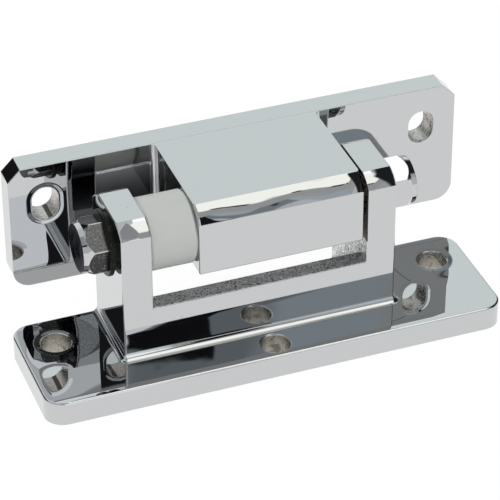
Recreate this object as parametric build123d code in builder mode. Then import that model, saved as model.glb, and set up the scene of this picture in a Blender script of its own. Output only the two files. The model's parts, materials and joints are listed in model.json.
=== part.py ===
"""Heavy surface-mounted door hinge: a base leaf with a two-eared bracket, a door leaf with a square barrel.

Frame: X runs along the pivot, +Y is the rear, +Z is up from the surface that the base leaf is screwed to.
The origin is the centre of the base plate's underside. All sizes are in millimetres.
"""
import os
from math import cos, radians, sin, sqrt

from build123d import *

os.makedirs("parts", exist_ok=True)

# Plates: both leaves are cast with the same plate
PLATE_LEN = 180.0
PLATE_W = 52.0
PLATE_T = 9.5
BASE_CORNER_R = 7.5
BASE_EDGE_R = 0.8
LEAF_TOP_CORNER = 5.0
LEAF_BOTTOM_CORNER_R = 7.0

# Fixing holes
HOLE_D = 11.0
HOLE_END_IN = 14.0
REAR_HOLE_IN = 14.8
FRONT_HOLE_IN = 7.8
HOLE_RIM = 0.6
SLOT_W = 10.4
SLOT_LEN = 14.0
SLOT_DROP = 16.6

# Pivot line
PIN_D = 12.0
PIN_Y = 6.3
PIN_Z = 53.0

# Bracket on the base leaf
BRACKET_X = -1.8
MOUTH_LEN = 83.9
EAR_T = 11.5
EAR_FRONT_Y = -8.3
EAR_TOP_Z = 66.1
FRONT_BEVEL_RUN = 6.3
FRONT_BEVEL_DROP = 4.7
REAR_BEVEL_RUN = 8.0
REAR_BEVEL_DROP = 5.6
BEVEL_BULGE = 0.5
EAR_EDGE_R = 0.6
MOUTH_EDGE_R = 0.4
WEB_T = 7.2
WEB_TOP_Z = 29.9
FOOT_R = 2.4
WEB_FOOT_R = 3.0

# Barrel on the door leaf
BARREL_LEN = 64.6
BARREL_HALF = 13.65
BARREL_BEVEL = 5.8
BARREL_EDGE_R = 0.7
LEAF_REACH = 36.5
LEAF_SHIFT = 0.6
BARREL_FILLET_R = 2.0

# Pivot bolt, nut and washers
HEX_AF = 19.0
HEAD_H = 9.3
NUT_H = 10.8
HEX_FACE_R = 9.1
HEX_SHOULDER = 2.1
HEX_CROWN = 4.3
HEAD_TURN = 43.0
NUT_TURN = 26.0
BOLT_PAST_NUT = 0.4
BOLT_END_CHAMFER = 1.0
FLAT_WASHER_D = 25.0
FLAT_WASHER_T = 1.6
LOCK_WASHER_D = 21.6
LOCK_WASHER_T = 1.6
LOCK_SPLIT = 1.0
LOCK_SPLIT_ANGLE = 232.0
LOCK_SPLIT_SLANT = 25.0
WASHER_EDGE = 0.4

# Nylon collar
COLLAR_D = 27.6
COLLAR_RIM = 1.0

# Clearances
PIVOT_CLEAR = 0.05
BOLT_CLEAR = 0.15
COLLAR_CLEAR = 0.1
FACE_CLEAR = 0.05
SIDE_PLAY = 0.9

# How near to a place an edge's middle lies to be taken as at it
TOUCH = 0.01

# Places that follow from the sizes above
EAR_REAR_Y = PLATE_W / 2
MOUTH_LEFT = BRACKET_X - MOUTH_LEN / 2
MOUTH_RIGHT = BRACKET_X + MOUTH_LEN / 2
BRACKET_LEFT = MOUTH_LEFT - EAR_T
BRACKET_RIGHT = MOUTH_RIGHT + EAR_T
WEB_REAR_Y = EAR_FRONT_Y + WEB_T
BARREL_RIGHT = MOUTH_RIGHT - SIDE_PLAY
BARREL_LEFT = BARREL_RIGHT - BARREL_LEN
BARREL_FRONT_Y = PIN_Y - BARREL_HALF
LEAF_X = (BARREL_LEFT + BARREL_RIGHT) / 2 + LEAF_SHIFT
LEAF_FRONT_Y = PIN_Y + LEAF_REACH
LEAF_TOP_Z = PIN_Z + BARREL_HALF
LEAF_MID_Z = LEAF_TOP_Z - PLATE_W / 2
HOLE_X = PLATE_LEN / 2 - HOLE_END_IN
LOCK_WASHER_X = BRACKET_LEFT - LOCK_WASHER_T
FLAT_WASHER_X = LOCK_WASHER_X - FLAT_WASHER_T
HEAD_X = FLAT_WASHER_X - HEAD_H
NUT_END_X = BRACKET_RIGHT + NUT_H
HEX_CORNER_R = HEX_AF / sqrt(3)


def pivot_plane(x):
    """The plane square to the pivot at x, centred on the pivot line."""
    return Plane((x, PIN_Y, PIN_Z), x_dir=(0, 1, 0), z_dir=(1, 0, 0))


def leaf_plane(z):
    """The plane of the door leaf's front face, centred on the plate at height z and facing forwards."""
    return Plane((LEAF_X, LEAF_FRONT_Y, z), x_dir=(1, 0, 0), z_dir=(0, -1, 0))


def bulged(start, end, bulge):
    """The middle point of a shallow arc from start to end, pushed out to the left of that direction."""
    run = end[0] - start[0]
    rise = end[1] - start[1]
    span = sqrt(run * run + rise * rise)
    return ((start[0] + end[0]) / 2 - rise / span * bulge, (start[1] + end[1]) / 2 + run / span * bulge)


def crowned_hex(x_face, height, side, turn):
    """A hexagon along the pivot, its outer end at x_face turned to a round shoulder with coned corners."""
    with BuildPart(mode=Mode.PRIVATE) as blank:
        with BuildSketch(pivot_plane(x_face)):
            RegularPolygon(HEX_CORNER_R, 6, rotation=turn)
        extrude(amount=height * side)
        with BuildSketch(Plane((x_face, PIN_Y, PIN_Z), x_dir=(side, 0, 0), z_dir=(0, -side, 0))):
            with BuildLine():
                Polyline(
                    (0, 0),
                    (0, HEX_FACE_R),
                    (HEX_SHOULDER, HEX_AF / 2),
                    (2 * HEX_CROWN - HEX_SHOULDER, 2 * HEX_CORNER_R - HEX_AF / 2),
                    (height, 2 * HEX_CORNER_R - HEX_AF / 2),
                    (height, 0),
                    close=True,
                )
            make_face()
        revolve(axis=Axis((x_face, PIN_Y, PIN_Z), (1, 0, 0)), mode=Mode.INTERSECT)
    return blank.part


def at(edges, axis, place):
    """The edges whose middles lie at a place along an axis."""
    return edges.filter_by_position(axis, place - TOUCH, place + TOUCH)


def between(edges, front, rear):
    """The edges whose middles lie from front to rear along Y, with none that lie at rear itself."""
    return edges.filter_by_position(Axis.Y, front - TOUCH, rear - TOUCH)


def ear_edges(part, x):
    """An ear's edges in the plane at x, up its front and over its top to the end of the rear bevel."""
    side = between(at(part.edges(), Axis.X, x), EAR_FRONT_Y, EAR_REAR_Y)
    return side.filter_by_position(Axis.Z, WEB_TOP_Z + TOUCH, EAR_TOP_Z + TOUCH)


# Base leaf: plate, two ears and the low web that ties their fronts together
ear_front_low = (EAR_FRONT_Y, EAR_TOP_Z - FRONT_BEVEL_DROP)
ear_front_top = (EAR_FRONT_Y + FRONT_BEVEL_RUN, EAR_TOP_Z)
ear_rear_top = (EAR_REAR_Y - REAR_BEVEL_RUN, EAR_TOP_Z)
ear_rear_low = (EAR_REAR_Y, EAR_TOP_Z - REAR_BEVEL_DROP)
with BuildPart() as base_leaf:
    with BuildSketch():
        RectangleRounded(PLATE_LEN, PLATE_W, BASE_CORNER_R)
    extrude(amount=PLATE_T)
    # Side profile of the bracket, run along the pivot
    with BuildSketch(Plane.YZ.offset(BRACKET_LEFT)):
        with BuildLine():
            Polyline(ear_front_low, (EAR_FRONT_Y, 0), (EAR_REAR_Y, 0), ear_rear_low)
            ThreePointArc(ear_rear_low, bulged(ear_rear_top, ear_rear_low, BEVEL_BULGE), ear_rear_top)
            Line(ear_rear_top, ear_front_top)
            ThreePointArc(ear_front_top, bulged(ear_front_low, ear_front_top, BEVEL_BULGE), ear_front_low)
        make_face()
    extrude(amount=BRACKET_RIGHT - BRACKET_LEFT)
    # Polished-over edges round the outer side of each ear, from the plate over the top to the rear bevel
    fillet(ear_edges(base_leaf, BRACKET_LEFT) + ear_edges(base_leaf, BRACKET_RIGHT), EAR_EDGE_R)
    # Casting radius where the bracket's front and ends meet the plate
    foot = at(base_leaf.edges(), Axis.Z, PLATE_T).filter_by(GeomType.LINE)
    fillet(
        at(foot, Axis.Y, EAR_FRONT_Y) + at(foot, Axis.X, BRACKET_LEFT) + at(foot, Axis.X, BRACKET_RIGHT),
        FOOT_R,
    )
    # Rounded top outline of the plate
    outline = at(base_leaf.edges(), Axis.Z, PLATE_T)
    fillet(
        at(outline, Axis.Y, EAR_REAR_Y)
        + at(outline, Axis.Y, -PLATE_W / 2)
        + outline.filter_by_position(Axis.X, -PLATE_LEN / 2, BASE_CORNER_R - PLATE_LEN / 2)
        + outline.filter_by_position(Axis.X, PLATE_LEN / 2 - BASE_CORNER_R, PLATE_LEN / 2),
        BASE_EDGE_R,
    )
    # Mouth for the barrel: open above the web, and down to the plate behind it
    with BuildSketch(Plane.YZ.offset(MOUTH_LEFT)) as mouth:
        with BuildLine():
            Polyline(
                (EAR_FRONT_Y - PLATE_T, WEB_TOP_Z),
                (WEB_REAR_Y, WEB_TOP_Z),
                (WEB_REAR_Y, PLATE_T),
                (EAR_REAR_Y + PLATE_T, PLATE_T),
                (EAR_REAR_Y + PLATE_T, EAR_TOP_Z + PLATE_T),
                (EAR_FRONT_Y - PLATE_T, EAR_TOP_Z + PLATE_T),
                close=True,
            )
        make_face()
        fillet(mouth.vertices().group_by(Axis.Y)[0].sort_by(Axis.X)[0], WEB_FOOT_R)
    extrude(amount=MOUTH_LEN, mode=Mode.SUBTRACT)
    web_edge = at(at(base_leaf.edges(), Axis.Z, WEB_TOP_Z), Axis.Y, EAR_FRONT_Y)
    fillet(ear_edges(base_leaf, MOUTH_LEFT) + ear_edges(base_leaf, MOUTH_RIGHT) + web_edge, MOUTH_EDGE_R)
    # Pivot bores in the ears
    with BuildSketch(pivot_plane(BRACKET_LEFT)):
        Circle(PIN_D / 2 + BOLT_CLEAR)
    extrude(amount=BRACKET_RIGHT - BRACKET_LEFT, mode=Mode.SUBTRACT)
    # Two rear fixing holes and one in the middle of the front edge
    hole_spots = [
        (-HOLE_X, PLATE_W / 2 - REAR_HOLE_IN, PLATE_T),
        (HOLE_X, PLATE_W / 2 - REAR_HOLE_IN, PLATE_T),
        (0, FRONT_HOLE_IN - PLATE_W / 2, PLATE_T),
    ]
    with Locations(*hole_spots):
        Hole(HOLE_D / 2)
    plate_top = at(base_leaf.edges(), Axis.Z, PLATE_T)
    chamfer(plate_top.filter_by(lambda edge: edge.is_closed), HOLE_RIM)
base_leaf.part.label = "base_leaf"
export_step(base_leaf.part, "parts/base_leaf.step")

# Door leaf: plate with two upright slots, and the square barrel flush with its top edge
barrel_front_low = (BARREL_FRONT_Y, LEAF_TOP_Z - BARREL_BEVEL)
barrel_front_top = (BARREL_FRONT_Y + BARREL_BEVEL, LEAF_TOP_Z)
with BuildPart() as door_leaf:
    with BuildSketch(leaf_plane(LEAF_MID_Z)) as plate:
        Rectangle(PLATE_LEN, PLATE_W)
        chamfer(plate.vertices().group_by(Axis.Y)[-1], LEAF_TOP_CORNER)
        fillet(plate.vertices().group_by(Axis.Y)[0], LEAF_BOTTOM_CORNER_R)
    extrude(amount=-PLATE_T)
    with BuildSketch(Plane.YZ.offset(BARREL_LEFT)):
        with BuildLine():
            Polyline(
                barrel_front_low,
                (BARREL_FRONT_Y, PIN_Z - BARREL_HALF),
                (LEAF_FRONT_Y, PIN_Z - BARREL_HALF),
                (LEAF_FRONT_Y, LEAF_TOP_Z),
                barrel_front_top,
            )
            crown = bulged(barrel_front_low, barrel_front_top, BEVEL_BULGE)
            ThreePointArc(barrel_front_top, crown, barrel_front_low)
        make_face()
    extrude(amount=BARREL_LEN)
    # Polished-over edges along the barrel's front and underside
    barrel_edges = between(door_leaf.edges(), BARREL_FRONT_Y, LEAF_FRONT_Y)
    underside = at(barrel_edges, Axis.Z, PIN_Z - BARREL_HALF)
    front = between(barrel_edges, BARREL_FRONT_Y, BARREL_FRONT_Y + BARREL_BEVEL)
    fillet(underside + (front - underside), BARREL_EDGE_R)
    with BuildSketch(pivot_plane(BARREL_LEFT)):
        Circle(PIN_D / 2 + PIVOT_CLEAR)
    extrude(amount=BARREL_LEN, mode=Mode.SUBTRACT)
    # Casting radius between the barrel and the plate
    root = at(door_leaf.edges(), Axis.Y, LEAF_FRONT_Y).filter_by(GeomType.LINE)
    fillet(
        at(root, Axis.X, BARREL_LEFT) + at(root, Axis.X, BARREL_RIGHT) + at(root, Axis.Z, PIN_Z - BARREL_HALF),
        BARREL_FILLET_R,
    )
    with BuildSketch(leaf_plane(LEAF_TOP_Z - SLOT_DROP)):
        with Locations((-HOLE_X, 0), (HOLE_X, 0)):
            SlotOverall(SLOT_LEN, SLOT_W, rotation=90)
    extrude(amount=-PLATE_T, mode=Mode.SUBTRACT)
door_leaf.part.label = "door_leaf"
export_step(door_leaf.part, "parts/door_leaf.step")

# Pivot bolt: crowned head on the left, plain shank, chamfered end flush with the nut
with BuildPart() as pivot_bolt:
    add(crowned_hex(HEAD_X, HEAD_H, 1, HEAD_TURN))
    with BuildSketch(pivot_plane(FLAT_WASHER_X)):
        Circle(PIN_D / 2)
    extrude(amount=NUT_END_X + BOLT_PAST_NUT - FLAT_WASHER_X)
    chamfer(pivot_bolt.faces().sort_by(Axis.X)[-1].edges(), BOLT_END_CHAMFER)
pivot_bolt.part.label = "pivot_bolt"
export_step(pivot_bolt.part, "parts/pivot_bolt.step")

with BuildPart() as pivot_nut:
    add(crowned_hex(NUT_END_X, NUT_H, -1, NUT_TURN))
    with BuildSketch(pivot_plane(BRACKET_RIGHT)):
        Circle(PIN_D / 2 + PIVOT_CLEAR)
    extrude(amount=NUT_H, mode=Mode.SUBTRACT)
pivot_nut.part.label = "pivot_nut"
export_step(pivot_nut.part, "parts/pivot_nut.step")

with BuildPart() as flat_washer:
    with BuildSketch(pivot_plane(FLAT_WASHER_X)):
        Circle(FLAT_WASHER_D / 2)
        Circle(PIN_D / 2 + BOLT_CLEAR, mode=Mode.SUBTRACT)
    extrude(amount=FLAT_WASHER_T)
    chamfer(flat_washer.faces().sort_by(Axis.X)[0].outer_wire().edges(), WASHER_EDGE)
flat_washer.part.label = "flat_washer"
export_step(flat_washer.part, "parts/flat_washer.step")

# Lock washer: pressed flat, with its slanting split towards the lower front
split_at = (cos(radians(LOCK_SPLIT_ANGLE)), sin(radians(LOCK_SPLIT_ANGLE)))
with BuildPart() as lock_washer:
    with BuildSketch(pivot_plane(LOCK_WASHER_X)):
        Circle(LOCK_WASHER_D / 2)
        Circle(PIN_D / 2 + BOLT_CLEAR, mode=Mode.SUBTRACT)
    extrude(amount=LOCK_WASHER_T)
    split_plane = Plane(
        (LOCK_WASHER_X + LOCK_WASHER_T / 2, PIN_Y + PIN_D / 2 * split_at[0], PIN_Z + PIN_D / 2 * split_at[1]),
        x_dir=(1, 0, 0),
        z_dir=(0, split_at[0], split_at[1]),
    )
    with BuildSketch(split_plane):
        Rectangle(LOCK_WASHER_T * 2, LOCK_SPLIT, rotation=LOCK_SPLIT_SLANT)
    extrude(amount=LOCK_WASHER_D / 2, both=True, mode=Mode.SUBTRACT)
lock_washer.part.label = "lock_washer"
export_step(lock_washer.part, "parts/lock_washer.step")

# Nylon collar: fills the mouth between the left ear and the barrel
with BuildPart() as nylon_collar:
    with BuildSketch(pivot_plane(MOUTH_LEFT)):
        Circle(COLLAR_D / 2)
        Circle(PIN_D / 2 + COLLAR_CLEAR, mode=Mode.SUBTRACT)
    extrude(amount=BARREL_LEFT - FACE_CLEAR - MOUTH_LEFT)
    for end in (nylon_collar.faces().sort_by(Axis.X)[0], nylon_collar.faces().sort_by(Axis.X)[-1]):
        chamfer(end.outer_wire().edges(), COLLAR_RIM)
nylon_collar.part.label = "nylon_collar"
export_step(nylon_collar.part, "parts/nylon_collar.step")
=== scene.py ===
"""Looks of a heavy chrome door hinge: camera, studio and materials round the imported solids.

Lengths are in metres in the solids' own frame: X along the pivot, +Y to the rear, +Z up from the base
plate's underside. Directions in the studio are an azimuth, clockwise from +Y towards +X, and a height
above the horizon, in degrees.
"""
import json
from math import cos, degrees, radians, sin

import bpy
from mathutils import Matrix, Vector


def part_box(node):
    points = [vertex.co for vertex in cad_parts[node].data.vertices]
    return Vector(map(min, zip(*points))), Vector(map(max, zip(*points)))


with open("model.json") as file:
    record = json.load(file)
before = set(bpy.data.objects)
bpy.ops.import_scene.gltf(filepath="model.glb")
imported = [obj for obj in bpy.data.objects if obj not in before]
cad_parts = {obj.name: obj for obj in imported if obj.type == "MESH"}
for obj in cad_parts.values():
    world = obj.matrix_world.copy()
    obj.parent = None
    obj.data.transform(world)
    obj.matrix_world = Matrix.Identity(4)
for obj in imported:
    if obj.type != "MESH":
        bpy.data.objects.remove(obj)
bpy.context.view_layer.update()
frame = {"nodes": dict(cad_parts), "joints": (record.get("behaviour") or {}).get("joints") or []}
nodes = frame["nodes"]
scene = bpy.context.scene

# Camera, as fitted to the photograph
CAMERA_AT = Vector((-0.286865, -0.769833, 0.60242))
CAMERA_AZIMUTH = 20.234
CAMERA_TILT_DOWN = 34.405
CAMERA_ROLL = -0.287
CAMERA_LENS_MM = 193.98
SENSOR_MM = 36.0

# Sizes of the castings and hexagons, as in the solids
PLATE_T = 0.0095
HOLE_R = 0.0055
HOLE_END_IN = 0.0140
REAR_HOLE_IN = 0.0148
FRONT_HOLE_IN = 0.0078
SLOT_HALF_W = 0.0052
SLOT_HALF_LEN = 0.0070
SLOT_DROP = 0.0166
EAR_T = 0.0115
EAR_BEVEL_DROP = 0.0047
WEB_REAR_Y = -0.0011
WEB_TOP_Z = 0.0299
BARREL_LEN = 0.0646
BARREL_HALF = 0.01365
BARREL_BEVEL_DROP = 0.0058
SIDE_PLAY = 0.0009
HEX_HALF_AF = 0.0095
HEAD_TURN = 43.0
NUT_TURN = 26.0

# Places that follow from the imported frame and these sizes
base_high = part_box("base_leaf")[1]
leaf_low, leaf_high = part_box("door_leaf")
PIN_YZ = frame["joints"][0]["pos_m"][1:]
PLATE_HALF = (base_high.x, base_high.y)
HOLE_X = PLATE_HALF[0] - HOLE_END_IN
REAR_HOLE_Y = PLATE_HALF[1] - REAR_HOLE_IN
FRONT_HOLE_Y = FRONT_HOLE_IN - PLATE_HALF[1]
HOLE_SPOTS = ((-HOLE_X, REAR_HOLE_Y), (HOLE_X, REAR_HOLE_Y), (0.0, FRONT_HOLE_Y))
LEAF_TOP_Z = leaf_high.z
LEAF_REAR_Y = leaf_high.y
LEAF_FRONT_Y = LEAF_REAR_Y - PLATE_T
LEAF_X = (leaf_low.x + leaf_high.x) / 2
SLOT_X = (LEAF_X - HOLE_X, LEAF_X + HOLE_X)
SLOT_Z = LEAF_TOP_Z - SLOT_DROP
MOUTH_X = (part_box("nylon_collar")[0].x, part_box("pivot_nut")[0].x - EAR_T)
BARREL_LOW_Z = PIN_YZ[1] - BARREL_HALF
HEAD_FACE_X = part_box("pivot_bolt")[0].x
NUT_FACE_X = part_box("pivot_nut")[1].x

# Front bevels, each as middle and half length along X and lowest Z, and a Y that all of them lie in front of
EAR_BEVEL_LOW_Z = base_high.z - EAR_BEVEL_DROP
LEFT_EAR_BEVEL = (MOUTH_X[0] - EAR_T / 2, EAR_T / 2, EAR_BEVEL_LOW_Z)
RIGHT_EAR_BEVEL = (MOUTH_X[1] + EAR_T / 2, EAR_T / 2, EAR_BEVEL_LOW_Z)
BARREL_BEVEL = (MOUTH_X[1] - SIDE_PLAY - BARREL_LEN / 2, BARREL_LEN / 2, LEAF_TOP_Z - BARREL_BEVEL_DROP)
BEVEL_REAR_Y = -0.0016

# How near a place has to be to a face to count as on it
NEAR = 0.0001

# Polish: the depth in metres of a height of 1, and how far in and how deep the wheel rolled over the edges
POLISH_DEPTH = 0.00016
LEAF_ROLL_OFF = 0.010
LEAF_ROLL_OFF_DROP = 0.00030
PLATE_ROLL_OFF = 0.0035
PLATE_ROLL_OFF_DROP = 0.00012

# Hollows round the base plate's holes and the door leaf's slots: reach from the middle and relative depth
BASE_HOLLOWS = ((0.0085, 0.8), (0.018, 1.0))
LEAF_HOLLOWS = ((0.0075, 0.9),)

# Colours
CHROME = (0.565, 0.572, 0.577)
CHROME_SPOT = (0.46, 0.47, 0.47)
CAST_LIGHT = (1.0, 1.0, 1.0)
CAST_DARK = (0.16, 0.16, 0.163)
SATIN = (0.36, 0.365, 0.37)
BROWN_GREY = (0.50, 0.475, 0.42)
STREAK_GREY = (0.62, 0.60, 0.57)
# Stains, and also painted shade on the ear's wall in the gap beside the barrel's right end
STAIN_SHADE_TINT = (0.075, 0.06, 0.045)
HEAD_END = (0.055, 0.06, 0.075)
HEAD_FLANK = (0.21, 0.21, 0.207)
NUT_END = (0.50, 0.50, 0.51)
NUT_FLANK = (0.57, 0.57, 0.58)
TURNED = (0.57, 0.57, 0.57)
# Painted glints speckled over the painted shade on a hexagon's flats
SHADE_GLINT = (0.75, 0.75, 0.74)
# Painted highlight along a hexagon's edges and the borders of its flats
HEX_HIGHLIGHT = (0.80, 0.80, 0.79)
WHITE = (1.0, 1.0, 1.0)


def scaled(colour, share):
    return tuple(share * part for part in colour)


class Graph:
    """A node tree with short calls for the nodes that the materials use."""

    def __init__(self, tree):
        self.tree = tree
        tree.nodes.clear()

    def node(self, kind, inputs=None, **settings):
        made = self.tree.nodes.new(kind)
        for name, value in settings.items():
            setattr(made, name, value)
        for name, value in (inputs or {}).items():
            self.feed(made.inputs[name], value)
        return made

    def feed(self, socket, value):
        if isinstance(value, bpy.types.NodeSocket):
            self.tree.links.new(value, socket)
        elif isinstance(value, (tuple, list)) and socket.type == "RGBA" and len(value) == 3:
            socket.default_value = (*value, 1.0)
        else:
            socket.default_value = value

    def math(self, operation, a, b=0.0, clamp=False):
        return self.node("ShaderNodeMath", {0: a, 1: b}, operation=operation, use_clamp=clamp).outputs[0]

    def plus(self, a, b):
        return self.math("ADD", a, b)

    def minus(self, a, b, clamp=False):
        return self.math("SUBTRACT", a, b, clamp)

    def times(self, a, b):
        return self.math("MULTIPLY", a, b)

    def over(self, a, b, clamp=False):
        return self.math("DIVIDE", a, b, clamp)

    def larger(self, a, b):
        return self.math("MAXIMUM", a, b)

    def size(self, a):
        return self.math("ABSOLUTE", a)

    def root_of_squares(self, a, b):
        return self.math("SQRT", self.plus(self.times(a, a), self.times(b, b)))

    def wrap(self, value, low, high):
        return self.node("ShaderNodeMath", {0: value, 1: high, 2: low}, operation="WRAP").outputs[0]

    def split(self, vector):
        return self.node("ShaderNodeSeparateXYZ", {0: vector}).outputs

    def ramp(self, value, low, high, to_low=0.0, to_high=1.0):
        """Goes smoothly from to_low at low to to_high at high, and low may be the larger of the two."""
        inputs = {"Value": value, "From Min": low, "From Max": high, "To Min": to_low, "To Max": to_high}
        made = self.node("ShaderNodeMapRange", inputs, interpolation_type="SMOOTHSTEP", clamp=True)
        return made.outputs[0]

    def band(self, value, low, high, soft):
        """1 where value lies between low and high, fading to 0 over soft on each side."""
        past_low = self.ramp(value, low - soft, low + soft)
        return self.times(past_low, self.ramp(value, high + soft, high - soft))

    def on_plane(self, value, place):
        """1 where value is within 0.2 mm of place, fading to 0 at 0.4 mm."""
        return self.ramp(self.size(self.minus(value, place)), 4 * NEAR, 2 * NEAR)

    def choose(self, kind, first, factor, a, b):
        """A Mix node of a data type, whose value inputs start at index first."""
        made = self.node("ShaderNodeMix", data_type=kind)
        for socket, value in ((0, factor), (first, a), (first + 1, b)):
            self.feed(made.inputs[socket], value)
        return made

    def blend(self, factor, a, b):
        return self.choose("FLOAT", 2, factor, a, b).outputs[0]

    def mix_vectors(self, factor, a, b):
        return self.choose("VECTOR", 4, factor, a, b).outputs[1]

    def mix(self, factor, a, b):
        return self.choose("RGBA", 6, factor, a, b).outputs[2]

    def noise(self, place, scale, detail=3.0, roughness=0.5, distortion=0.0):
        inputs = {
            "Vector": place, "Scale": scale, "Detail": detail, "Roughness": roughness,
            "Distortion": distortion,
        }
        return self.node("ShaderNodeTexNoise", inputs).outputs["Fac"]

    def soft_edges(self, radius, samples):
        """A normal that rounds the solids' sharp edges in the shading."""
        return self.node("ShaderNodeBevel", {"Radius": radius}, samples=samples).outputs[0]

    def bump(self, height, distance, normal=None):
        inputs = {"Height": height, "Distance": distance, "Strength": 1.0}
        if normal is not None:
            inputs["Normal"] = normal
        return self.node("ShaderNodeBump", inputs).outputs[0]


def material(name):
    made = bpy.data.materials.new(name)
    made.use_nodes = True
    graph = Graph(made.node_tree)
    graph.out = graph.node("ShaderNodeOutputMaterial")
    graph.place = graph.node("ShaderNodeTexCoord").outputs["Object"]
    return made, graph


def surface(graph, **inputs):
    named = {name.replace("_", " "): value for name, value in inputs.items()}
    shader = graph.node("ShaderNodeBsdfPrincipled", named)
    graph.tree.links.new(shader.outputs[0], graph.out.inputs["Surface"])


def dress(node, made):
    """Gives a carried-over solid its material."""
    slots = nodes[node].data.materials
    slots.clear()
    slots.append(made)


# Studio: panels of light in the world, painted over each other in this order.
# Each has a name, azimuths from and to, heights from and to, the softness of its edges in degrees, a lean,
# which is how far its sides move back in azimuth per degree of height above LEAN_HEIGHT, and a colour.
LEAN_HEIGHT = 30.0
PANELS = (
    ("surroundings", 0, 360, -90, 90, 1, 0.0, (0.60, 0.63, 0.66)),
    ("table glow", 0, 360, -90, -1, 1, 0.0, (1.0, 1.0, 1.0)),
    ("rear wall", 330.5, 435, -2, 58, 4, 0.0, (0.93, 1.0, 1.0)),
    ("black left side", 292.5, 338.5, 3, 42, 4, 0.0, (0.012, 0.012, 0.014)),
    ("dim ceiling", 0, 360, 57, 91, 2, 0.0, (0.72, 0.75, 0.77)),
    ("softbox", 96, 158, 50, 80, 2.0, 0.0, (1.52, 1.52, 1.43)),
    ("dim side", 158, 215.5, 42, 88, 3.0, 0.0, (0.38, 0.39, 0.40)),
    ("grey front", 116, 160, 27, 50, 1, 0.0, (0.48, 0.545, 0.60)),
    ("light front", 116, 161, -1, 27, 2, 0.0, (0.66, 0.70, 0.73)),
    ("neutral right", 130, 156.2, 28, 38, 0.4, 0.0, (0.50, 0.51, 0.505)),
    ("thin stand", 155.30, 155.37, 25, 38, 0.02, 0.0, (0.03, 0.03, 0.03)),
    ("dim front", 159.4, 163.2, 27, 38, 0.5, 0.0, (0.26, 0.29, 0.31)),
    ("neutral front", 112, 163.6, 38, 50, 0.8, 0.0, (0.46, 0.465, 0.47)),
    ("dark beam", 147.4, 152.4, 48.9, 51.6, 0.4, 0.0, (0.02, 0.02, 0.022)),
    ("black right side", 40, 122, -1, 62, 4.5, 0.0, (0.02, 0.02, 0.024)),
    ("high strip", 56, 100, 68, 80, 1.5, 0.0, (1.8, 1.8, 1.8)),
    ("white front", 163.4, 184.5, -1, 36.3, 0.12, 0.10, (1.42, 1.45, 1.5)),
    ("upper front", 163.6, 184.5, 36.5, 42, 0.12, 0.0, (1.0, 1.02, 1.05)),
    ("camera side", 187.5, 208.5, 31.5, 40, 0.6, 0.0, (0.03, 0.03, 0.034)),
    ("black canopy", 160.8, 163.0, 35.7, 36.6, 0.08, 0.0, (0.012, 0.012, 0.014)),
    ("black post", 161.4, 163.0, 4, 35.7, 0.10, 0.10, (0.012, 0.012, 0.014)),
)


def paint_world():
    world = bpy.data.worlds.new("studio")
    scene.world = world
    world.use_nodes = True
    graph = Graph(world.node_tree)
    x, y, z = graph.split(graph.node("ShaderNodeTexCoord").outputs["Generated"])
    azimuth = graph.wrap(graph.times(graph.math("ARCTAN2", x, y), degrees(1.0)), 0.0, 360.0)
    height = graph.times(graph.math("ARCSINE", z), degrees(1.0))
    above = graph.minus(height, LEAN_HEIGHT)
    colour = None
    for name, az_from, az_to, low, high, soft, lean, paint in PANELS:
        mask = graph.band(height, low, high, soft)
        if az_to - az_from < 360:
            past = graph.plus(graph.minus(azimuth, az_from), graph.times(above, lean))
            past = graph.wrap(past, -soft, 360.0 - soft)
            mask = graph.times(mask, graph.band(past, 0.0, az_to - az_from, soft))
        colour = graph.mix(mask, paint if colour is None else colour, paint)
    seen = graph.node("ShaderNodeLightPath").outputs["Is Camera Ray"]
    light = graph.node("ShaderNodeBackground", {"Color": graph.mix(seen, colour, WHITE), "Strength": 1.0})
    out = graph.node("ShaderNodeOutputWorld")
    graph.tree.links.new(light.outputs[0], out.inputs[0])


def lay_floor():
    """A white floor at the base plate's underside that shows white and keeps a soft shadow."""
    half = 3.0
    corners = [(-half, -half, 0), (half, -half, 0), (half, half, 0), (-half, half, 0)]
    mesh = bpy.data.meshes.new("floor")
    mesh.from_pydata(corners, [], [(0, 1, 2, 3)])
    floor = bpy.data.objects.new("floor", mesh)
    scene.collection.objects.link(floor)
    made, graph = material("floor_white")
    path = graph.node("ShaderNodeLightPath").outputs
    shown = graph.larger(path["Is Camera Ray"], path["Is Glossy Ray"])
    shown = graph.larger(shown, path["Is Transmission Ray"])
    grain = graph.noise(graph.place, 40.0)
    paint = graph.mix(grain, (0.80, 0.80, 0.80), (0.84, 0.84, 0.84))
    matte = graph.node("ShaderNodeBsdfDiffuse", {"Color": paint})
    glow = graph.node("ShaderNodeEmission", {"Color": WHITE, "Strength": 1.1})
    mixed = graph.node("ShaderNodeMixShader", {0: graph.times(shown, 0.86)})
    graph.tree.links.new(matte.outputs[0], mixed.inputs[1])
    graph.tree.links.new(glow.outputs[0], mixed.inputs[2])
    graph.tree.links.new(mixed.outputs[0], graph.out.inputs["Surface"])
    mesh.materials.append(made)


def place_camera():
    data = bpy.data.cameras.new("camera")
    data.lens = CAMERA_LENS_MM
    data.sensor_width = SENSOR_MM
    data.clip_start = 0.05
    data.clip_end = 20.0
    camera = bpy.data.objects.new("camera", data)
    scene.collection.objects.link(camera)
    turn, tilt, roll = (radians(a) for a in (CAMERA_AZIMUTH, CAMERA_TILT_DOWN, CAMERA_ROLL))
    ahead = Vector((sin(turn) * cos(tilt), cos(turn) * cos(tilt), -sin(tilt)))
    level = Vector((cos(turn), -sin(turn), 0.0))
    upright = level.cross(ahead)
    right = level * cos(roll) + upright * sin(roll)
    above = upright * cos(roll) - level * sin(roll)
    axes = Matrix((right, above, -ahead)).transposed()
    camera.matrix_world = Matrix.Translation(CAMERA_AT) @ axes.to_4x4()
    scene.camera = camera


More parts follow.
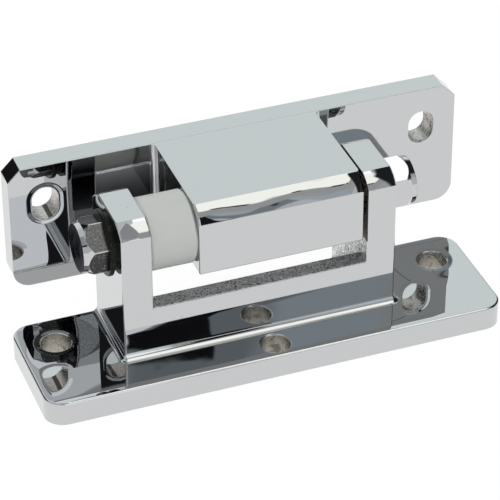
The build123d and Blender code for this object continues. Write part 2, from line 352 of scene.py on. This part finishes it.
def base_rough(graph):
    """Where the mouth keeps its as-cast skin, and where, behind the web, that is only satin."""
    x, y, z = graph.split(graph.place)
    inside = graph.band(x, MOUTH_X[0] - NEAR, MOUTH_X[1] + NEAR, NEAR / 2)
    above = graph.ramp(z, WEB_TOP_Z - NEAR, WEB_TOP_Z - NEAR / 2)
    behind = graph.times(
        graph.ramp(y, WEB_REAR_Y - NEAR, WEB_REAR_Y - NEAR / 2), graph.ramp(z, WEB_TOP_Z, WEB_TOP_Z - NEAR)
    )
    between = graph.band(x, MOUTH_X[0] + 4 * NEAR, MOUTH_X[1] - 4 * NEAR, NEAR)
    return graph.times(inside, graph.larger(above, behind)), graph.times(between, behind)


def leaf_rough(graph):
    """The door leaf is polished all over."""
    return 0.0, 0.0


def hole_wall(graph, spot):
    """1 in a round hole of the base plate, up to its wall."""
    x, y, z = graph.split(graph.place)
    reach = graph.root_of_squares(graph.minus(x, spot[0]), graph.minus(y, spot[1]))
    return graph.ramp(reach, HOLE_R + 3 * NEAR, HOLE_R + NEAR)


def base_bare(graph):
    """The round holes' walls and their stains, and painted shade on the ear's wall beside the barrel's right
    end.
    """
    x, y, z = graph.split(graph.place)
    walls = 0.0
    for spot in HOLE_SPOTS:
        walls = graph.larger(hole_wall(graph, spot), walls)
    stain_and_gap_shade = graph.ramp(graph.noise(graph.place, 210.0, 3.0, 0.6, 0.4), 0.48, 0.66, 0.0, 0.7)
    # Painted shade: the right ear's wall in the narrow gap beside the barrel's right end is painted dark.
    beside = graph.band(x, MOUTH_X[1] - NEAR, MOUTH_X[1] + 3 * NEAR, NEAR / 2)
    beside = graph.times(beside, graph.ramp(z, BARREL_LOW_Z - 5 * NEAR, BARREL_LOW_Z))
    return graph.larger(walls, beside), graph.larger(stain_and_gap_shade, beside)


def slot_wall(graph, centre_x):
    """1 in an upright slot of the door leaf, up to its wall."""
    x, y, z = graph.split(graph.place)
    half_w, half_len, inset = SLOT_HALF_W + 1.5 * NEAR, SLOT_HALF_LEN + 2 * NEAR, 1.5 * NEAR
    across = graph.band(x, centre_x - half_w, centre_x + half_w, 0.8 * NEAR)
    along = graph.band(z, SLOT_Z - half_len, SLOT_Z + half_len, NEAR)
    deep = graph.band(y, LEAF_FRONT_Y + inset, LEAF_REAR_Y - inset, 0.8 * NEAR)
    return graph.times(graph.times(across, along), deep)


def leaf_bare(graph):
    """The slots' walls, with a darker streak in the left one and stain patches in the right one."""
    x, y, z = graph.split(graph.place)
    walls = graph.larger(*(slot_wall(graph, middle) for middle in SLOT_X))
    streak = graph.band(x, SLOT_X[0] + 0.0010, SLOT_X[0] + 0.0027, 2 * NEAR)
    patches = graph.ramp(graph.noise(graph.place, 190.0, 3.0, 0.6, 0.5), 0.46, 0.62, 0.0, 0.75)
    return walls, graph.larger(streak, graph.times(patches, graph.ramp(x, 0.0, 0.001)))


def polish_dips(graph, spots, axes, straight, hollows):
    """Height of the shallow hollows that a polishing wheel leaves round holes or slots.

    axes are the two along the face, straight is half the length of a slot's straight sides, along the
    second axis, and hollows are the reach and relative depth of each hollow round every hole.
    """
    total = 0.0
    parts = graph.split(graph.place)
    for spot in spots:
        across, along = (graph.minus(parts[axis], value) for axis, value in zip(axes, spot))
        along = graph.larger(graph.minus(graph.size(along), straight), 0.0)
        distance = graph.root_of_squares(across, along)
        for reach, depth in hollows:
            total = graph.plus(graph.ramp(distance, reach, HOLE_R, 0.0, -depth), total)
    return total


def leaf_roll_off(graph):
    """Height of the door leaf's front face, which the wheel let fall away towards its top edge."""
    x, y, z = graph.split(graph.place)
    near = graph.over(graph.minus(z, LEAF_TOP_Z - LEAF_ROLL_OFF), LEAF_ROLL_OFF, True)
    fall = graph.times(graph.times(near, near), -LEAF_ROLL_OFF_DROP / POLISH_DEPTH)
    return graph.times(fall, graph.on_plane(y, LEAF_FRONT_Y))


def plate_roll_off(graph):
    """Height of the base plate's top, which the wheel let fall away towards its outline."""
    x, y, z = graph.split(graph.place)
    from_end = graph.minus(PLATE_HALF[0], graph.size(x))
    from_side = graph.minus(PLATE_HALF[1], graph.size(y))
    inside = graph.over(graph.math("MINIMUM", from_end, from_side), PLATE_ROLL_OFF, True)
    near = graph.minus(1.0, inside)
    fall = graph.times(graph.times(near, near), -PLATE_ROLL_OFF_DROP / POLISH_DEPTH)
    return graph.times(fall, graph.on_plane(z, PLATE_T))


def worked_bevel(graph, normal, bevel, end, flat_to, end_drop, end_power, lean, wander=0.0):
    """A front bevel as a polishing wheel leaves it: fallen away towards one end, and leaning.

    end is 1 for the right end and -1 for the left, flat_to how far along the half length the fall begins,
    end_drop its depth in metres at the end, lean a slope, and wander how far the slope sways.
    """
    middle, half, low = bevel
    unit, per_slope = 0.001, 1.414
    x, y, z = graph.split(graph.place)
    along = graph.over(graph.minus(x, middle), half * end)
    past = graph.larger(graph.over(graph.minus(along, flat_to), 1.0 - flat_to), 0.0)
    fall = graph.times(graph.math("POWER", past, end_power), end_drop)
    sway = graph.math("COSINE", graph.times(graph.plus(along, 0.35), 6.0))
    slope = graph.plus(graph.times(sway, per_slope * wander), per_slope * lean)
    rise = graph.times(graph.minus(z, low), slope)
    worked = graph.bump(graph.times(graph.plus(fall, rise), -1.0 / unit), unit, normal)
    on_bevel = graph.times(
        graph.ramp(z, low - NEAR, low + NEAR), graph.ramp(y, BEVEL_REAR_Y, BEVEL_REAR_Y - 2 * NEAR)
    )
    on_bevel = graph.times(on_bevel, graph.ramp(graph.size(along), 1.1, 1.05))
    return graph.mix_vectors(on_bevel, normal, worked)


def casting(name, rough_mask, bare_mask, bare_tint, bare_shine, dips, bevels, rolled):
    """Polished chrome with as-cast, satin and bare places.

    rough_mask gives where it is as-cast and where satin, bare_mask where bare and where darkened, by stains
    and, on the base, by painted shade in the gap beside the barrel; dips and bevels are the settings of
    polish_dips and of each worked_bevel, and rolled gives the edges' roll-off.
    """
    made, graph = material(name)
    rough, satin = rough_mask(graph)
    bare, stain_and_gap_shade = bare_mask(graph)
    wave = graph.noise(graph.place, 38.0, 1.5, 0.45)
    haze = graph.noise(graph.place, 900.0, 4.0, 0.6)
    spots = graph.ramp(graph.noise(graph.place, 420.0, 2.0, 0.5), 0.73, 0.77)
    grains = graph.noise(graph.place, 1350.0, 5.0, 0.68)
    clumps = graph.noise(graph.place, 300.0, 2.0, 0.5)

    polish = graph.mix(spots, CHROME, CHROME_SPOT)
    cast = graph.mix(graph.ramp(grains, 0.38, 0.52), CAST_DARK, CAST_LIGHT)
    cast = graph.mix(graph.ramp(clumps, 0.45, 0.80, 0.0, 0.5), cast, CAST_DARK)
    dull = graph.mix(graph.ramp(grains, 0.35, 0.65), scaled(bare_tint, 0.7), bare_tint)
    dull = graph.mix(stain_and_gap_shade, dull, STAIN_SHADE_TINT)
    colour = graph.mix(satin, graph.mix(rough, polish, cast), SATIN)
    colour = graph.mix(bare, colour, dull)

    shine = graph.ramp(haze, 0.3, 0.9, 0.008, 0.022)
    shine = graph.blend(rough, shine, graph.ramp(grains, 0.35, 0.7, 0.5, 0.2))
    shine = graph.blend(bare, graph.blend(satin, shine, 0.34), bare_shine)

    coarse = graph.larger(graph.minus(rough, satin, True), bare)
    soft = graph.plus(graph.times(wave, 0.4), polish_dips(graph, *dips))
    soft = graph.times(graph.plus(soft, rolled(graph)), graph.minus(1.0, coarse))
    normal = graph.bump(soft, POLISH_DEPTH, graph.soft_edges(0.00035, 6))
    for bevel in bevels:
        normal = worked_bevel(graph, normal, *bevel)
    normal = graph.bump(graph.times(grains, coarse), 0.00025, normal)
    surface(graph, Base_Color=colour, Metallic=1.0, Roughness=shine, Normal=normal)
    return made


def hex_flats(graph, turn):
    """Masks of a hexagon turned about the pivot: its flats, those that face up and forward, and its edges."""
    x, y, z = graph.split(graph.place)
    across = graph.minus(y, PIN_YZ[0])
    up = graph.minus(z, PIN_YZ[1])
    out = graph.root_of_squares(across, up)
    angle = graph.minus(graph.math("ARCTAN2", up, across), radians(turn + 30.0))
    off_middle = graph.wrap(angle, radians(-30.0), radians(30.0))
    from_flat = graph.minus(HEX_HALF_AF, graph.times(out, graph.math("COSINE", off_middle)))
    forward = graph.over(graph.minus(graph.times(up, 0.731), graph.times(across, 0.682)), out)
    flats = graph.ramp(from_flat, 1.6 * NEAR, 0.2 * NEAR)
    edges = graph.ramp(graph.size(off_middle), radians(28.3), radians(29.2))
    return flats, graph.ramp(forward, 0.860, 0.872), edges


def plated_hex(name, x_face, side, turn, end_colour, flank_colour, flank_grain, painted_shade_share):
    """A crowned hexagon: a mottled end, a bright turned shoulder and crown, and flats with a grainy skin.

    x_face is its end face and side the direction along X from there into it. The last argument is how far the
    flats that don't face up and forward are darkened as painted shade, with painted glints speckled over it.
    """
    made, graph = material(name)
    x = graph.split(graph.place)[0]
    end = graph.ramp(graph.times(graph.minus(x, x_face), side), 2 * NEAR, NEAR)
    flank, lit_flats, corner = hex_flats(graph, turn)
    grains = graph.noise(graph.place, 1500.0, 5.0, 0.66)
    patches = graph.noise(graph.place, 420.0, 3.0, 0.6)

    speckle = graph.ramp(grains, 0.35, 0.62, flank_grain, 0.0)
    skin = graph.mix(speckle, flank_colour, scaled(flank_colour, 0.55))
    # Painted shade: the flats that don't face up and forward are darkened, with bright specks as painted
    # glints.
    shaded_flats_skin = graph.mix(graph.ramp(grains, 0.60, 0.70), scaled(flank_colour, 0.22), SHADE_GLINT)
    skin = graph.mix(graph.times(graph.minus(1.0, lit_flats), painted_shade_share), skin, shaded_flats_skin)
    # Painted highlight: a bright line where the flats meet the crown and along the hexagon's upright edges.
    edge_highlight = graph.times(graph.times(flank, graph.minus(1.0, flank)), 4.0)
    edge_highlight = graph.times(graph.larger(edge_highlight, graph.times(corner, flank)), flank_grain)
    bright = graph.mix(edge_highlight, graph.mix(flank, TURNED, skin), HEX_HIGHLIGHT)
    face = graph.mix(graph.ramp(patches, 0.35, 0.65), scaled(end_colour, 0.4), end_colour)
    colour = graph.mix(end, bright, face)
    edge_tint = graph.mix(end, WHITE, tuple(0.45 + part for part in end_colour))

    flank_shine = graph.ramp(grains, 0.3, 0.7, 0.05 + 0.4 * flank_grain, 0.05 + 0.2 * flank_grain)
    shine = graph.blend(flank, 0.06, flank_shine)
    shine = graph.blend(end, shine, graph.ramp(patches, 0.3, 0.7, 0.25, 0.1))
    height = graph.times(graph.times(grains, flank), flank_grain)
    normal = graph.bump(height, 0.00006, graph.soft_edges(0.00025, 6))
    surface(
        graph, Base_Color=colour, Metallic=1.0, Roughness=shine, Specular_Tint=edge_tint, Normal=normal,
    )
    return made


def washer_steel():
    """Blackened spring steel, scuffed a little brighter in places."""
    made, graph = material("washer_steel")
    grains = graph.noise(graph.place, 1100.0, 3.0, 0.6)
    colour = graph.mix(graph.ramp(grains, 0.45, 0.75), (0.010, 0.010, 0.009), (0.032, 0.032, 0.028))
    normal = graph.bump(grains, 0.00003, graph.soft_edges(0.0002, 4))
    shine = graph.ramp(grains, 0.3, 0.7, 0.42, 0.3)
    surface(graph, Base_Color=colour, Metallic=0.85, Roughness=shine, Normal=normal)
    return made


def nylon():
    """Off-white nylon with faint turning marks round the pivot."""
    made, graph = material("nylon")
    x = graph.split(graph.place)[0]
    along = graph.node("ShaderNodeCombineXYZ", {0: x}).outputs[0]
    rings = graph.noise(along, 1600.0, 2.0, 0.5)
    cloud = graph.noise(graph.place, 90.0, 2.0, 0.5)
    surface(
        graph,
        Base_Color=graph.mix(cloud, (0.83, 0.82, 0.775), (0.88, 0.87, 0.83)),
        Roughness=graph.ramp(cloud, 0.3, 0.7, 0.38, 0.48),
        Subsurface_Weight=0.25,
        Subsurface_Radius=(0.004, 0.0035, 0.003),
        Subsurface_Scale=0.4,
        Normal=graph.bump(rings, 0.00002),
    )
    return made


def base_chrome():
    dips = (HOLE_SPOTS[:2], (0, 1), 0.0, BASE_HOLLOWS)
    bevels = (
        (LEFT_EAR_BEVEL, -1.0, -0.3, 0.0011, 2.0, -0.05),
        (RIGHT_EAR_BEVEL, 1.0, -0.5, 0.0017, 2.0, -0.06),
    )
    return casting("cast_chrome_base", base_rough, base_bare, BROWN_GREY, 0.34, dips, bevels, plate_roll_off)


def leaf_chrome():
    dips = ([(x, SLOT_Z) for x in SLOT_X], (0, 2), SLOT_HALF_LEN - SLOT_HALF_W, LEAF_HOLLOWS)
    bevels = ((BARREL_BEVEL, 1.0, 0.80, 0.0020, 2.6, -0.045, 0.033),)
    return casting("cast_chrome_leaf", leaf_rough, leaf_bare, STREAK_GREY, 0.16, dips, bevels, leaf_roll_off)


scene.view_settings.view_transform = "Standard"
place_camera()
paint_world()
lay_floor()
dress("base_leaf", base_chrome())
dress("door_leaf", leaf_chrome())
dress("pivot_bolt", plated_hex("plated_head", HEAD_FACE_X, 1.0, HEAD_TURN, HEAD_END, HEAD_FLANK, 0.8, 0.85))
dress("pivot_nut", plated_hex("plated_nut", NUT_FACE_X, -1.0, NUT_TURN, NUT_END, NUT_FLANK, 0.04, 0.0))
steel = washer_steel()
dress("flat_washer", steel)
dress("lock_washer", steel)
dress("nylon_collar", nylon())
